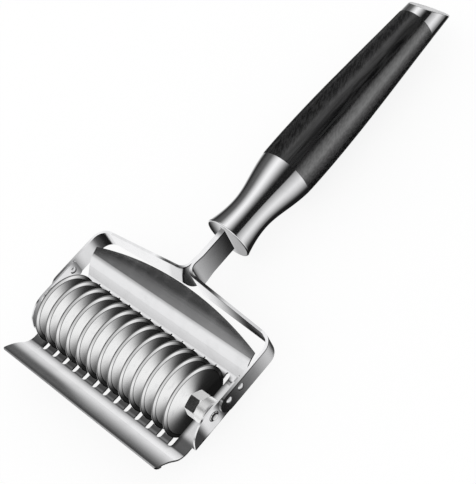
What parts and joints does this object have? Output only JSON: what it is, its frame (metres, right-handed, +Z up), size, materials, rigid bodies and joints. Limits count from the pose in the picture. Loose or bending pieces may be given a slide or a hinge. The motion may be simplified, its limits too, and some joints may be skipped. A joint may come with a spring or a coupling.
{
  "type": "noodle cutter",
  "caption": "Hand noodle cutter: a roller of disc blades turns in a slotted bent-sheet guard on a forked yoke, with a waisted metal ferrule and a tapered grip.",
  "frame": {"origin": "middle of the object's footprint, at the level of the blades' lowest point", "axes": "+X along the roller, +Y from the roller towards the grip's end, +Z up"},
  "size_m": [0.1062, 0.2476, 0.033],
  "materials": {
    "polished_steel": "polished",
    "blade_steel": "satin",
    "fitting_steel": "polished",
    "grip_plastic": "satin"
  },
  "bodies": {
    "frame": {"guard": "polished_steel", "yoke_strip_right": "polished_steel", "yoke_strip_left": "polished_steel", "arm_rivets": "polished_steel", "ferrule": "polished_steel", "grip": "grip_plastic", "end_cap": "polished_steel", "tie_rod": "fitting_steel"},
    "roller": {"roller_axle": "fitting_steel", "hex_nuts": "fitting_steel", "collar_right": "fitting_steel", "collar_left": "fitting_steel", "blade_01": "blade_steel", "blade_02": "blade_steel", "blade_03": "blade_steel", "blade_04": "blade_steel", "blade_05": "blade_steel", "blade_06": "blade_steel", "blade_07": "blade_steel", "blade_08": "blade_steel", "blade_09": "blade_steel", "blade_10": "blade_steel", "blade_11": "blade_steel", "blade_12": "blade_steel", "blade_13": "blade_steel", "spacer_01": "fitting_steel", "spacer_02": "fitting_steel", "spacer_03": "fitting_steel", "spacer_04": "fitting_steel", "spacer_05": "fitting_steel", "spacer_06": "fitting_steel", "spacer_07": "fitting_steel", "spacer_08": "fitting_steel", "spacer_09": "fitting_steel", "spacer_10": "fitting_steel", "spacer_11": "fitting_steel", "spacer_12": "fitting_steel"}
  },
  "joints": [
    {"name": "roller_spin", "type": "hinge", "parent": "frame", "child": "roller", "pos_m": [0, -0.09344, 0.0165], "axis": [1, 0, 0], "continuous": true}
  ]
}
